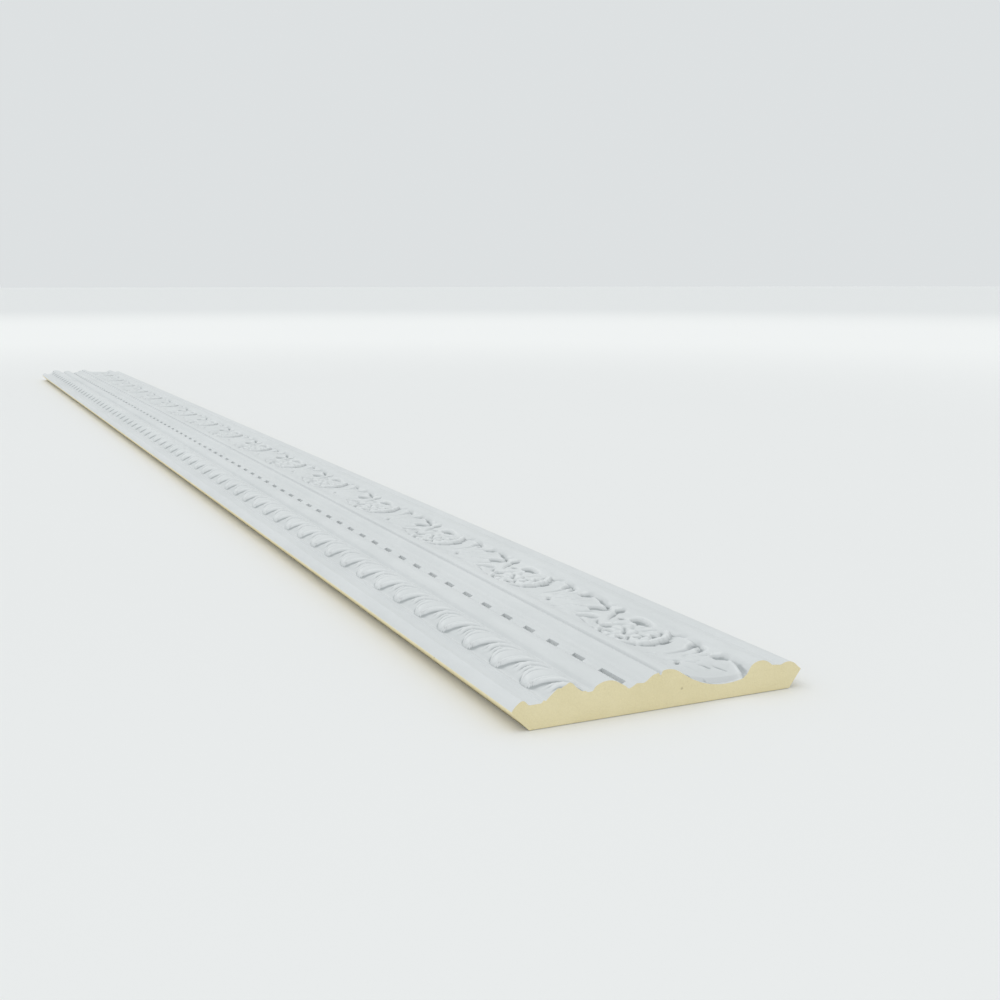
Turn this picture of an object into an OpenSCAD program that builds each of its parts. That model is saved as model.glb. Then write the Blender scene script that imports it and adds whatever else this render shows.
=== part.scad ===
// Carved cornice moulding, one straight length cast in one piece.
//
// The length lies on its flat back, decorated face up. X runs along the
// length, Y across the face, Z up from the back. The origin is on the back
// plane, half way along the length and half way across the two lips.
// The long edge at -Y carries the leaf roll; the edge at +Y the plain bead.
// Both long edges are bevelled: one bevel meets the wall, one the ceiling.
// All sizes are in millimetres.

/* [Overall] */
// Length of the moulding between its two square-cut ends
moulding_length = 2400; // [600:10:3000]
// Width of the flat back, between the feet of the two bevels
back_width = 152; // [148:1:190]
// Height of both lips above the back
lip_height = 9.5; // [7:0.5:11]
// How far the lip beside the leaf roll reaches past the back
leaf_side_reach = 9.4; // [6:0.2:12]
// How far the lip beside the plain bead reaches past the back
bead_side_reach = 7.2; // [5:0.2:10]

/* [Outer bead and flat, leaf side] */
// Width of the small outer bead
outer_bead_width = 8.8; // [7:0.2:12]
// Height of the outer bead's crest above the back
outer_bead_height = 14.4; // [13.6:0.1:16]
// Level of the flat between the outer bead and the leaf roll
outer_flat_height = 12.5; // [11.5:0.1:13.2]
// Width of that flat
outer_flat_width = 7.2; // [6:0.2:10]

/* [Leaf roll] */
// Width of the roll that carries the row of leaves
leaf_roll_width = 24.8; // [20:0.2:28]
// Height of the leaf roll's crest above the back
leaf_roll_height = 20.8; // [18.6:0.1:24]
// Height of the leaf roll's two shoulders above the back
leaf_shoulder_height = 15.4; // [15:0.1:16.6]
// Distance from one leaf to the next
leaf_pitch = 36.7; // [30:0.1:46]
// Depth of the carved stroke between two leaves
leaf_stroke_depth = 1.6; // [0.8:0.1:2.6]
// Width of that stroke at its widest
leaf_stroke_width = 3.4; // [2:0.1:5]
// How far the stroke drifts along the length while it crosses the roll
leaf_stroke_drift = 15; // [8:0.5:20]

/* [Slotted roll] */
// Level of the flat between the leaf roll and the slotted roll
inner_flat_height = 14.2; // [13.6:0.1:14.9]
// Width of that flat
inner_flat_width = 2.2; // [1.4:0.2:5]
// Width of the roll beside the slots
slotted_roll_width = 19; // [16:0.2:23]
// Height of the slotted roll's crest above the back
slotted_roll_height = 19; // [18:0.1:22]
// Height of the slotted roll's two shoulders above the back
slotted_shoulder_height = 16.6; // [16:0.1:17.2]

/* [Slotted valley] */
// Level of the two shoulders of the valley beside the slotted roll
valley_shoulder_height = 15.1; // [14.6:0.1:16]
// Width of the valley between its shoulders
valley_width = 6.6; // [5.4:0.2:8]
// Level of the bottom of the valley
valley_bottom_height = 12.9; // [11.8:0.1:13.6]
// Width of the flat strip between the valley and the cove roll
valley_flat_width = 4; // [2:0.2:6]
// Distance from one slot to the next
slot_pitch = 29.8; // [24:0.1:36]
// Length of a slot
slot_length = 12; // [8:0.2:16]
// Width of a slot
slot_width = 2.6; // [2:0.1:3.4]
// Level of the floor of a slot
slot_floor_height = 9.6; // [7:0.1:10.8]
// Distance from the +X end to the middle of the first slot
first_slot = 25.8; // [22:0.1:36]
// Extra length of the first slot, added towards the +X end
first_slot_extra = 12; // [0:0.5:12]

/* [Cove] */
// Width of the roll at the slotted side of the cove
cove_roll_width = 21.5; // [18:0.5:26]
// Height of that roll's crest above the back
cove_roll_height = 20.1; // [19.4:0.1:22]
// Height of the step in front of that roll
cove_step_height = 18.4; // [17:0.1:19]
// Height of the bottom of the cove above the back
cove_floor_height = 8; // [6.8:0.1:9]
// Height of the edge of the cove above the back, both sides
cove_edge_height = 9.4; // [9.2:0.1:11]
// Width of the roll at the bead side of the cove
bead_roll_width = 18.2; // [15:0.2:21]
// Height of that roll's crest above the back
bead_roll_height = 17.4; // [17:0.1:20]

/* [Cove ornament] */
// Distance from one rosette to the next
rosette_pitch = 147.2; // [120:0.2:200]
// Radius of a rosette over its ring
rosette_radius = 22; // [16:0.5:23]
// Width of the rosette's ring
rosette_ring_width = 3.6; // [2.4:0.2:5]
// Number of petals in a rosette
petals = 6; // [5:1:8]
// Length of one acanthus leaf
acanthus_length = 96; // [70:1:98]
// Greatest width of one acanthus leaf
acanthus_width = 19; // [10:0.5:21]
// Number of lobes along each side of an acanthus leaf
acanthus_lobes = 5; // [3:1:7]
// How far the ornament stands above the bottom of the cove
ornament_rise = 6.2; // [5.2:0.1:7]
// How far the ground between the leaves stands above the bottom of the cove
ground_rise = 4.6; // [3:0.1:5]

/* [Outer bead and flat, bead side] */
// Level of the flat between the cove and the plain bead
bead_flat_height = 14.2; // [13.8:0.1:15]
// Width of that flat
bead_flat_width = 6; // [4:0.2:8]
// Width of the plain bead, out to the lip
plain_bead_width = 12.8; // [10:0.2:15]
// Height of the plain bead's crest above the back
plain_bead_height = 14.5; // [14:0.1:16]

/* [Hidden] */
// Segments in each curved part of the section
curve_steps = 10;
// Segments across the face of the ornament and the floor of a stroke
relief_steps = 5;
// Distance a cutter passes beyond the face it cuts
cutter_over = 2;
// Width of the bare strip of cove left at the +X end
bare_strip = 3;
// Height of the ornament's front edge there, above the bottom of the cove
front_edge_rise = 2;
// Length over which the ornament rises from that edge to its full height
front_slope_run = 14;
// Distance from the +X end to the first leaf stroke and the first rosette
first_stroke = 17;
first_rosette = 81;
// Width of the sloping side of every roll
shoulder_run = 2.4;
// Places of the valley's bottom and of the middle of the slots, as shares of
// the valley's width
bottom_place = 0.38;
slot_place = 0.53;
// How much lower the cove roll ends than its step, and the width of the
// straight slope from there into the cove
cove_roll_fall = 1.2;
cove_slope_run = 12;
// Points along one side of a leaf stroke, and of an acanthus leaf
stroke_steps = 5;
leaf_steps = 20;
// Share of the leaf roll's width that a stroke crosses
stroke_span = 0.72;
// Distance from a rosette's ring to the stalks of its acanthus leaves
stalk_gap = 3;

face_width = back_width + leaf_side_reach + bead_side_reach;
half_length = moulding_length / 2;
leaf_lip_y = -face_width / 2;
bead_lip_y = face_width / 2;
back_leaf_y = leaf_lip_y + leaf_side_reach;
back_bead_y = bead_lip_y - bead_side_reach;

// Where each member of the section starts, walking from the leaf side
outer_flat_y = leaf_lip_y + outer_bead_width;
leaf_roll_y = outer_flat_y + outer_flat_width;
inner_flat_y = leaf_roll_y + leaf_roll_width;
slotted_roll_y = inner_flat_y + inner_flat_width;
valley_y = slotted_roll_y + slotted_roll_width;
cove_roll_y = valley_y + valley_width + valley_flat_width;
cove_y = cove_roll_y + cove_roll_width;
// Where the members on the bead side start, walking back from the lip
plain_bead_y = bead_lip_y - plain_bead_width;
bead_flat_y = plain_bead_y - bead_flat_width;
bead_roll_y = bead_flat_y - bead_roll_width;
cove_width = bead_roll_y - cove_y;
cove_middle_y = cove_y + cove_width / 2;
// The ornament laps on to the rolls at both sides of the cove
ornament_y = cove_y - cove_roll_width / 3;
ornament_end_y = bead_roll_y + shoulder_run;
ornament_middle_y = (ornament_y + ornament_end_y) / 2;
slot_y = valley_y + valley_width * slot_place;
slot_count = floor((moulding_length - first_slot - slot_length) / slot_pitch) + 1;
stroke_count = floor((moulding_length - first_stroke) / leaf_pitch) + 1;
rosette_count = ceil((moulding_length - first_rosette) / rosette_pitch);

// Points on the arc from p to q that stands `rise` off the line between
// them: up for a positive rise, down for a negative one.
function arc_points(p, q, rise, steps = curve_steps) =
    let (
        span = q - p,
        half = norm(span) / 2,
        side = rise > 0 ? 1 : -1,
        height = abs(rise),
        radius = (half * half + height * height) / (2 * height),
        along = span / (2 * half),
        up = [-along[1], along[0]] * side,
        centre = (p + q) / 2 - up * (radius - height),
        sweep = 2 * asin(min(1, half / radius))
    )
    [for (i = [0 : steps])
        let (turn = sweep * (i / steps - 0.5))
        centre + radius * (up * cos(turn) + along * sin(turn))];

// Rise of a roll's crest above the line between its two shoulders
function crown(crest, shoulder) = crest - shoulder;

function leaf_roll_curve(drop, steps) = arc_points(
    [leaf_roll_y + shoulder_run, leaf_shoulder_height - drop],
    [inner_flat_y - shoulder_run / 3, leaf_shoulder_height - drop],
    crown(leaf_roll_height, leaf_shoulder_height), steps);

function section_points() = concat(
    [[back_leaf_y, 0], [leaf_lip_y, lip_height]],
    arc_points([leaf_lip_y + outer_bead_width * 0.3, outer_flat_height],
               [outer_flat_y, outer_flat_height],
               crown(outer_bead_height, outer_flat_height)),
    [[leaf_roll_y, outer_flat_height]],
    leaf_roll_curve(0, curve_steps),
    [[inner_flat_y, inner_flat_height], [slotted_roll_y, inner_flat_height]],
    arc_points([slotted_roll_y + shoulder_run, slotted_shoulder_height],
               [valley_y - shoulder_run, slotted_shoulder_height],
               crown(slotted_roll_height, slotted_shoulder_height)),
    [[valley_y, valley_shoulder_height],
     [valley_y + valley_width * bottom_place, valley_bottom_height],
     [valley_y + valley_width, valley_shoulder_height],
     [cove_roll_y, valley_shoulder_height]],
    arc_points([cove_roll_y + cove_step_height - valley_shoulder_height,
                cove_step_height],
               [cove_y, cove_step_height - cove_roll_fall],
               crown(cove_roll_height, cove_step_height)
                   + cove_roll_fall / 2),
    arc_points([cove_y + cove_slope_run, cove_edge_height + cove_roll_fall],
               [bead_roll_y, cove_edge_height],
               cove_floor_height - cove_edge_height - cove_roll_fall / 2),
    arc_points([bead_roll_y + 2 * shoulder_run, bead_flat_height + 1],
               [bead_flat_y - shoulder_run / 2, bead_flat_height + 1],
               crown(bead_roll_height, bead_flat_height + 1)),
    [[bead_flat_y, bead_flat_height]],
    [[plain_bead_y, bead_flat_height - 1]],
    arc_points([plain_bead_y + 1, bead_flat_height - 1],
               [bead_lip_y - shoulder_run, lip_height + shoulder_run],
               plain_bead_height - lip_height - shoulder_run - 1.2),
    [[bead_lip_y, lip_height], [back_bead_y, 0]]);

// Extrude a section drawn in Y and Z along X, from x0 to x1
module run_section(x0, x1) {
    translate([x0, 0, 0]) rotate([90, 0, 90])
        linear_extrude(height = x1 - x0) children();
}

module plain_body() {
    run_section(-half_length, half_length) polygon(section_points());
}

// Outline of one carved stroke, a tapered S across the leaf roll
function stroke_middle(t) = [
    -leaf_stroke_drift * (t - 0.5) - 2 * sin(360 * t),
    leaf_roll_y + leaf_roll_width * (0.5 + stroke_span * (t - 0.5))];
function stroke_half(t) = leaf_stroke_width / 2 * (0.25 + 0.75 * sin(180 * t));
function stroke_outline() = concat(
    [for (i = [0 : stroke_steps])
        stroke_middle(i / stroke_steps) + [stroke_half(i / stroke_steps), 0]],
    [for (i = [stroke_steps : -1 : 0])
        stroke_middle(i / stroke_steps) - [stroke_half(i / stroke_steps), 0]]);

module leaf_strokes() {
    intersection() {
        for (i = [0 : stroke_count - 1])
            translate([half_length - first_stroke - i * leaf_pitch, 0,
                       outer_flat_height])
                linear_extrude(height = leaf_roll_height)
                    polygon(stroke_outline());
        run_section(-half_length - cutter_over, half_length + cutter_over)
            polygon(concat(
                [[leaf_roll_y, 2 * leaf_roll_height]],
                leaf_roll_curve(leaf_stroke_depth, relief_steps),
                [[inner_flat_y, 2 * leaf_roll_height]]));
    }
}

// One slot, straight-walled, cut down from above between x0 and x1
module slot_cutter(x0, x1) {
    translate([x0, slot_y - slot_width / 2, slot_floor_height])
        cube([x1 - x0, slot_width, slotted_roll_height - slot_floor_height]);
}

module slots() {
    first_x = half_length - first_slot;
    slot_cutter(first_x - slot_length / 2,
                first_x + slot_length / 2 + first_slot_extra);
    for (i = [1 : slot_count - 1])
        slot_cutter(first_x - i * slot_pitch - slot_length / 2,
                    first_x - i * slot_pitch + slot_length / 2);
}

// Outline of one lobed acanthus leaf, stalk at the origin, tip towards -X
function leaf_middle(t, side) = [
    -acanthus_length * t,
    side * (acanthus_width * 0.55 * sin(200 * t) - 2)];
function leaf_half(t) = acanthus_width / 2 * (0.12 + pow(sin(180 * t), 0.7))
    * (1 + 0.16 * cos(360 * acanthus_lobes * t)) * 0.8;
function leaf_outline(side) = concat(
    [for (i = [0 : leaf_steps])
        let (t = i / leaf_steps) leaf_middle(t, side) + [0, leaf_half(t)]],
    [for (i = [leaf_steps : -1 : 0])
        let (t = i / leaf_steps) leaf_middle(t, side) - [0, leaf_half(t)]]);

module rosette_outline() {
    difference() {
        circle(r = rosette_radius);
        circle(r = rosette_radius - rosette_ring_width);
    }
    for (i = [0 : petals - 1])
        rotate(i * 360 / petals)
            translate([rosette_radius * 0.48, 0])
                circle(r = rosette_radius * 0.27);
    circle(r = rosette_radius * 0.26);
}

module ornament_outline() {
    rosette_outline();
    translate([-rosette_radius - stalk_gap, 0]) {
        translate([0, acanthus_width * 0.6]) polygon(leaf_outline(1));
        translate([0, -acanthus_width * 0.6]) polygon(leaf_outline(-1));
    }
}

// The cove filled up by `rise`, hollow between the rolls on both sides
module cove_fill(rise) {
    near_top = cove_roll_height - 1;
    far_top = cove_edge_height + ornament_rise;
    run_section(-half_length, half_length - bare_strip)
        polygon(concat(
            [[ornament_end_y, cove_floor_height / 2],
             [ornament_y, cove_floor_height / 2]],
            arc_points([ornament_y, near_top], [ornament_end_y, far_top],
                       cove_floor_height + rise - (near_top + far_top) / 2,
                       relief_steps)));
}

// Side view of the space the ornament fills, sloped down at the +X end
module ornament_side() {
    front_x = half_length - bare_strip;
    translate([0, ornament_end_y, 0]) rotate([90, 0, 0])
        linear_extrude(height = ornament_end_y - ornament_y)
            polygon([
                [-half_length, 0], [front_x, 0],
                [front_x, cove_floor_height + front_edge_rise],
                [front_x - front_slope_run, cove_floor_height + ornament_rise],
                [front_x - front_slope_run, 2 * cove_roll_height],
                [-half_length, 2 * cove_roll_height]]);
}

module cove_ornament() {
    intersection() {
        union() {
            cove_fill(ground_rise);
            intersection() {
                for (i = [-1 : rosette_count - 1])
                    translate([half_length - first_rosette - i * rosette_pitch,
                               ornament_middle_y, cove_floor_height / 2])
                        linear_extrude(height = cove_roll_height)
                            ornament_outline();
                cove_fill(ornament_rise);
            }
        }
        ornament_side();
    }
}

module cornice() {
    color("gainsboro") union() {
        difference() {
            plain_body();
            leaf_strokes();
            slots();
        }
        cove_ornament();
    }
}

cornice();
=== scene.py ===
"""A straight length of carved foam cornice moulding, lying on its flat back.

Distances across the face and above the back are in millimetres inside the
section and carving classes, and become metres when a mesh is made. Along the
length, `run` counts millimetres from the +X end. `across` counts millimetres
from the foot of the bevel on the leaf side. Within one repeat of a row,
`along` counts millimetres from its +X border.
"""
import logging
import math
from dataclasses import dataclass
from enum import Enum
from typing import NamedTuple, Protocol, Sequence

import bmesh
import bpy
import numpy as np
from mathutils import Matrix, Vector


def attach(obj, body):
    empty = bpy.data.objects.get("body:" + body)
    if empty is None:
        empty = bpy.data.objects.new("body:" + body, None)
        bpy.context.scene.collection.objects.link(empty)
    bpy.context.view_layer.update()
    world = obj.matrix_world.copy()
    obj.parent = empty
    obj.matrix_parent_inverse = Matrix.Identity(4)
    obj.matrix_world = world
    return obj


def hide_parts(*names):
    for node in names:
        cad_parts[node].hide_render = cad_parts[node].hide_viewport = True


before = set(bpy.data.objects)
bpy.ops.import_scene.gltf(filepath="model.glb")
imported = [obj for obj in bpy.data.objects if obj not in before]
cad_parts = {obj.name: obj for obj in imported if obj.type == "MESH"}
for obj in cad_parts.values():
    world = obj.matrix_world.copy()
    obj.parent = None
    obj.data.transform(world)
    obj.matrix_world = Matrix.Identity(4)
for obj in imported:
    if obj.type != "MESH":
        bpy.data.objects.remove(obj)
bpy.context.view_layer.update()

LOG = logging.getLogger("cornice")
MM = 0.001
NOISE_MIDDLE = 0.5

Array = np.ndarray
Point = tuple[float, float]
Triple = tuple[float, float, float]
Colour = Triple


class Slot(Enum):
    """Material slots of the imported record."""

    PRIMER = "primer_coat"
    FOAM = "foam_core"


def smoothstep(value: Array, low: float, high: float) -> Array:
    """Ease from 0 at `low` to 1 at `high`.

    Args:
        value: Numbers to ease.
        low: Where the step starts.
        high: Where the step ends.

    Returns:
        The eased numbers, between 0 and 1.
    """
    t = np.clip((value - low) / (high - low), 0.0, 1.0)
    return t * t * (3.0 - 2.0 * t)


def hump(value: Array, middle: float, width: float, power: int = 2) -> Array:
    """Fall from 1 at `middle` towards 0 on both sides.

    Args:
        value: Numbers to weigh.
        middle: Where the hump stands.
        width: Distance over which it falls to about a third.
        power: Flatness of its top.

    Returns:
        The weights, between 0 and 1.
    """
    return np.exp(-((value - middle) / width) ** power)


def bell(offsets: Array, radius: float) -> Array:
    """Weights of an average over a radius; they add up to 1."""
    weights = np.exp(-0.5 * (offsets / radius) ** 2)
    return weights / weights.sum()


def follow(places: Array, keys: Sequence[Point]) -> Array:
    """Read a line drawn through key points at the given places."""
    return np.interp(places, *np.array(keys).T)


def arc(start: Point, end: Point, rise: float, steps: int = 24) -> list[Point]:
    """Points on a circular arc between two points of a section.

    Args:
        start: First point, across and up.
        end: Last point.
        rise: How far the arc stands off the chord, down when negative.
        steps: Number of segments.

    Returns:
        The points in order, both ends included.
    """
    a, b = np.array(start), np.array(end)
    span = b - a
    half = np.linalg.norm(span) / 2.0
    height = abs(rise)
    radius = (half * half + height * height) / (2.0 * height)
    along = span / (2.0 * half)
    up = np.array([-along[1], along[0]]) * math.copysign(1.0, rise)
    centre = (a + b) / 2.0 - up * (radius - height)
    sweep = 2.0 * math.asin(min(1.0, half / radius))
    turns = sweep * (np.arange(steps + 1) / steps - 0.5)
    return [tuple(centre + radius * (up * math.cos(t) + along * math.sin(t)))
            for t in turns]


@dataclass(frozen=True)
class Section:
    """Bare section of the moulding, as heights over the width, in mm."""

    length: float = 2400.0
    back_width: float = 152.0
    lip_height: float = 9.5
    leaf_reach: float = 9.4
    bead_reach: float = 7.2
    edge_rise: float = 0.75
    edge_inset: float = 0.15
    softness: float = 0.2
    sample: float = 0.3
    finer: int = 4

    @property
    def middle(self) -> float:
        """Distance across from the leaf side's back corner to Y = 0."""
        return (self.back_width + self.bead_reach - self.leaf_reach) / 2.0

    @property
    def low(self) -> float:
        """Where the lip beside the leaf roll lies."""
        return -self.leaf_reach

    @property
    def high(self) -> float:
        """Where the lip beside the plain bead lies."""
        return self.back_width + self.bead_reach

    @property
    def skin_edge(self) -> Point:
        """Where the primer starts, above the bare foam edge of the lip."""
        return self.low + self.edge_inset, self.lip_height + self.edge_rise

    def outline(self) -> list[Point]:
        """Key points and arcs of the decorated face, leaf side first."""
        outer_bead = [(self.low, self.lip_height), self.skin_edge]
        outer_bead += arc((-9.1, 10.4), (-4.4, 14.8), 0.5, 8)
        outer_bead += arc((-4.2, 14.9), (-2.0, 14.4), 0.3, 6)
        outer_bead += [(-0.6, 12.7), (0.4, 12.4), (6.6, 12.5)]
        leaf_roll = [(8.2, 14.6), *arc((8.6, 15.2), (30.2, 15.6), 5.2)]
        slotted_roll = [(31.4, 14.6), (34.2, 14.6),
                        *arc((35.8, 16.7), (47.4, 17.9), 1.5)]
        valley = [(52.6, 14.8), (53.8, 13.6), (54.8, 13.1), (55.8, 13.2),
                  (57.6, 14.4), (59.2, 15.3), (60.6, 15.1), (63.2, 14.9)]
        step = [(64.8, 15.7), (66.8, 17.3), (68.6, 18.4), (71.7, 19.0)]
        thin_groove = [(72.4, 17.5), (73.0, 17.5), (73.8, 19.6)]
        cove_roll = arc((74.3, 19.8), (84.7, 17.2), 1.2)
        cove = [(91.6, 12.9), *arc((96.7, 10.6), (122.2, 9.1), -1.9),
                (125.0, 11.2)]
        bead_roll = arc((127.2, 15.0), (139.2, 15.2), 2.2)
        plain_bead = [(140.4, 14.1), (146.2, 13.4),
                      *arc((147.4, 13.9), (156.4, 11.9), 1.5),
                      (self.high, self.lip_height)]
        return (outer_bead + leaf_roll + slotted_roll + valley + step
                + thin_groove + cove_roll + cove + bead_roll + plain_bead)

    def height(self, across: Array) -> Array:
        """Height of the bare face above the back.

        Args:
            across: Places across the face.

        Returns:
            The height at each place, with the corners slightly rounded.
        """
        spacing = self.sample / self.finer
        rounding = 3 * self.softness
        places = np.arange(self.low, self.high + spacing, spacing)
        raw = follow(places, self.outline())
        reach = int(rounding / spacing)
        offsets = np.arange(-reach, reach + 1) * self.sample / self.finer
        soft = np.convolve(np.pad(raw, reach, mode="edge"),
                           bell(offsets, self.softness), mode="valid")
        edge = np.minimum(places - self.low, self.high - places)
        soft = raw + (soft - raw) * smoothstep(edge, 0.0, rounding)
        return np.interp(across, places, soft)

    def to_world(self, run: Array, across: Array, up: Array) -> Array:
        """Turn places on the moulding into frame coordinates.

        Args:
            run: Distances from the +X end.
            across: Distances from the leaf side's back corner.
            up: Heights above the back.

        Returns:
            One row of X, Y and Z in metres for each place.
        """
        run, across, up = np.broadcast_arrays(run, across, up)
        return np.stack([self.length / 2.0 - run, across - self.middle, up],
                        axis=-1).reshape(-1, 3) * MM


class Carving:
    """Heights over one repeat of a carved row, wrapped along its length."""

    TIGHT_RADIUS, TIGHT_WEIGHT = 1.1, 1.4
    BROAD_RADIUS, BROAD_WEIGHT = 3.0, 0.5

    def __init__(self, along: Array, across: Array, pitch: float,
                 step: float, ground: Array) -> None:
        """Start from the bare section.

        Args:
            along: Places along one repeat, from 0 up to the pitch.
            across: Places across the row.
            pitch: Length of one repeat.
            step: Grid spacing.
            ground: Bare height at each place across.
        """
        self.pitch, self.step = pitch, step
        self.along, self.across = np.meshgrid(along, across, indexing="ij")
        self.ground = np.broadcast_to(ground, self.along.shape).copy()
        self.up = self.ground.copy()

    def local(self, place: Point, turn: float = 0.0) -> tuple[Array, Array]:
        """Distances from a place, along and across a turned axis.

        Args:
            place: The place, along and across.
            turn: Angle of the axis in degrees.

        Returns:
            The two distances at every grid point.
        """
        half = self.pitch / 2.0
        du = (self.along - place[0] + half) % self.pitch - half
        dv = self.across - place[1]
        c, s = math.cos(math.radians(turn)), math.sin(math.radians(turn))
        return du * c + dv * s, dv * c - du * s

    def reach(self, place: Point, size: Point, turn: float,
              power: float = 2.0) -> tuple[Array, Array]:
        """How far out each grid point lies in a turned oval.

        Args:
            place: Middle of the oval.
            size: Half length and half width.
            turn: Angle of its length in degrees.
            power: Squareness of the oval.

        Returns:
            The share of the way to the edge, 1 on it, and the share along
            the oval's length, from -1 to 1.
        """
        du, dv = self.local(place, turn)
        x, y = du / size[0], dv / size[1]
        return (np.abs(x) ** power + np.abs(y) ** power) ** (1 / power), x

    def apply(self, strokes: Sequence["Stroke"]) -> None:
        """Make several strokes in order."""
        for stroke in strokes:
            stroke.cut(self)

    def blurred(self, radius: float) -> Array:
        """The heights averaged over a radius, wrapped along the repeat."""
        reach = max(1, int(3 * radius / self.step))
        kernel = bell(np.arange(-reach, reach + 1) * self.step, radius)
        wrapped = np.concatenate([self.up[-1 - reach:-1], self.up,
                                  self.up[1:reach + 1]])
        half = np.apply_along_axis(
            lambda row: np.convolve(row, kernel, mode="valid"), 0, wrapped)
        padded = np.pad(half, ((0, 0), (reach, reach)), mode="edge")
        return np.apply_along_axis(
            lambda row: np.convolve(row, kernel, mode="valid"), 1, padded)

    def soften(self, radius: float) -> None:
        """Round every edge a little, as a casting has it."""
        self.up = self.blurred(radius)

    def hollows(self) -> Array:
        """How far each place lies below its surroundings."""
        tight = self.blurred(self.TIGHT_RADIUS) - self.up
        broad = self.blurred(self.BROAD_RADIUS) - self.up
        return tight * self.TIGHT_WEIGHT + broad * self.BROAD_WEIGHT

    def settle(self, margin: float) -> None:
        """Bring the carving back to the bare section at both long borders."""
        edge = np.minimum(self.across - self.across.min(),
                          self.across.max() - self.across)
        share = smoothstep(edge, 0.0, margin)
        self.up = self.ground + (self.up - self.ground) * share
        self.up[-1] = self.up[0]


class Stroke(Protocol):
    """One change to the heights of a carving."""

    def cut(self, carving: Carving) -> None:
        """Make the change."""


@dataclass(frozen=True)
class Swell:
    """A soft oval rise."""

    place: Point
    size: Point
    turn: float
    rise: float

    def cut(self, carving: Carving) -> None:
        """Add the rise to the heights."""
        out, _ = carving.reach(self.place, self.size, self.turn)
        carving.up += self.rise * np.clip(1.0 - out * out, 0.0, 1.0) ** 2


@dataclass(frozen=True)
class Lobe:
    """A lobe of a leaf: a firm edge, a rounded top and veins along it."""

    place: Point
    size: Point
    turn: float
    rise: float
    veins: int = 2
    vein_share: float = 0.3

    def cut(self, carving: Carving) -> None:
        """Add the lobe to the heights."""
        out, _ = carving.reach(self.place, self.size, self.turn)
        inside = np.clip(1.0 - out ** 3, 0.0, 1.0)
        carving.up += self.rise * np.sqrt(inside)
        _, dv = carving.local(self.place, self.turn)
        wave = np.cos(math.pi * self.veins * dv / self.size[1])
        carving.up -= (self.vein_share * self.rise * inside
                       * np.clip(wave, 0.0, 1.0) ** 4)


@dataclass(frozen=True)
class Gouge:
    """A cut that deepens along its length to a steep far wall."""

    place: Point
    size: Point
    turn: float
    depth: float
    squareness: float = 2.6
    fall_length: float = 1.7
    fall_power: float = 0.8
    wall_steepness: float = 5.0

    def cut(self, carving: Carving) -> None:
        """Take the gouge out of the heights."""
        out, x = carving.reach(self.place, self.size, self.turn,
                               self.squareness)
        fall = np.clip((x + 1.0) / self.fall_length, 0.0, 1.0)
        carving.up -= self.depth * fall ** self.fall_power * np.clip(
            (1.0 - out) * self.wall_steepness, 0.0, 1.0)


@dataclass(frozen=True)
class Groove:
    """A groove along a path, tapered towards both its ends."""

    path: tuple[Point, ...]
    width: float
    depth: float
    taper_power: float = 0.6

    def cut(self, carving: Carving) -> None:
        """Take the groove out of the heights."""
        du, dv = carving.local(self.path[0])
        nearest = np.full(carving.up.shape, np.inf)
        taper = np.zeros(carving.up.shape)
        legs = len(self.path) - 1
        points = [(u - self.path[0][0], v - self.path[0][1])
                  for u, v in self.path]
        for leg, ((ax, ay), (bx, by)) in enumerate(zip(points, points[1:])):
            sx, sy = bx - ax, by - ay
            t = np.clip(((du - ax) * sx + (dv - ay) * sy)
                        / (sx * sx + sy * sy), 0.0, 1.0)
            away = np.hypot(du - ax - t * sx, dv - ay - t * sy)
            near = away < nearest
            nearest = np.where(near, away, nearest)
            share = np.sin(math.pi * (leg + t) / legs) ** self.taper_power
            taper = np.where(near, share, taper)
        carving.up -= self.depth * taper * hump(nearest, 0.0, self.width / 2.0)


def grid_mesh(name: str, points: Array, rows: int, columns: int) -> bpy.types.Mesh:
    """Make a mesh of quads from a grid of points.

    Args:
        name: Name of the mesh.
        points: The grid's points, row by row.
        rows: Number of rows.
        columns: Number of points in a row.

    Returns:
        The mesh, its faces turned upwards for rows that run towards -X.
    """
    index = np.arange(rows * columns).reshape(rows, columns)
    quads = np.stack([index[:-1, :-1], index[1:, :-1], index[1:, 1:],
                      index[:-1, 1:]], axis=-1).reshape(-1, 4)[:, ::-1]
    mesh = bpy.data.meshes.new(name)
    mesh.from_pydata(points.tolist(), [], quads.tolist())
    mesh.update()
    return mesh


def note_hollows(mesh: bpy.types.Mesh, hollows: Array) -> None:
    """Store how hollow each vertex lies, for the finish to read as painted shade
    and highlight.
    """
    layer = mesh.attributes.new("hollow", "FLOAT", "POINT")
    layer.data.foreach_set("value", hollows.reshape(-1).astype(np.float32))


def new_piece(name: str, mesh: bpy.types.Mesh) -> bpy.types.Object:
    """Link a mesh to the scene as an object at the origin."""
    piece = bpy.data.objects.new(name, mesh)
    bpy.context.scene.collection.objects.link(piece)
    return piece


def slice_mesh(mesh: bpy.types.Mesh, cuts: Sequence[Point], snap: float,
               clear: bool) -> None:
    """Cut a mesh across at several X planes.

    Args:
        mesh: The mesh to cut.
        cuts: X of each plane in metres, and 1 or -1 for the way it faces.
        snap: Distance within which a vertex counts as on the plane.
        clear: Whether what lies in front of a plane is taken away.
    """
    work = bmesh.new()
    work.from_mesh(mesh)
    for x, facing in cuts:
        bmesh.ops.bisect_plane(
            work, geom=work.verts[:] + work.edges[:] + work.faces[:],
            dist=snap, plane_co=(x, 0.0, 0.0), plane_no=(facing, 0.0, 0.0),
            clear_outer=clear)
    work.to_mesh(mesh)
    work.free()


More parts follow.
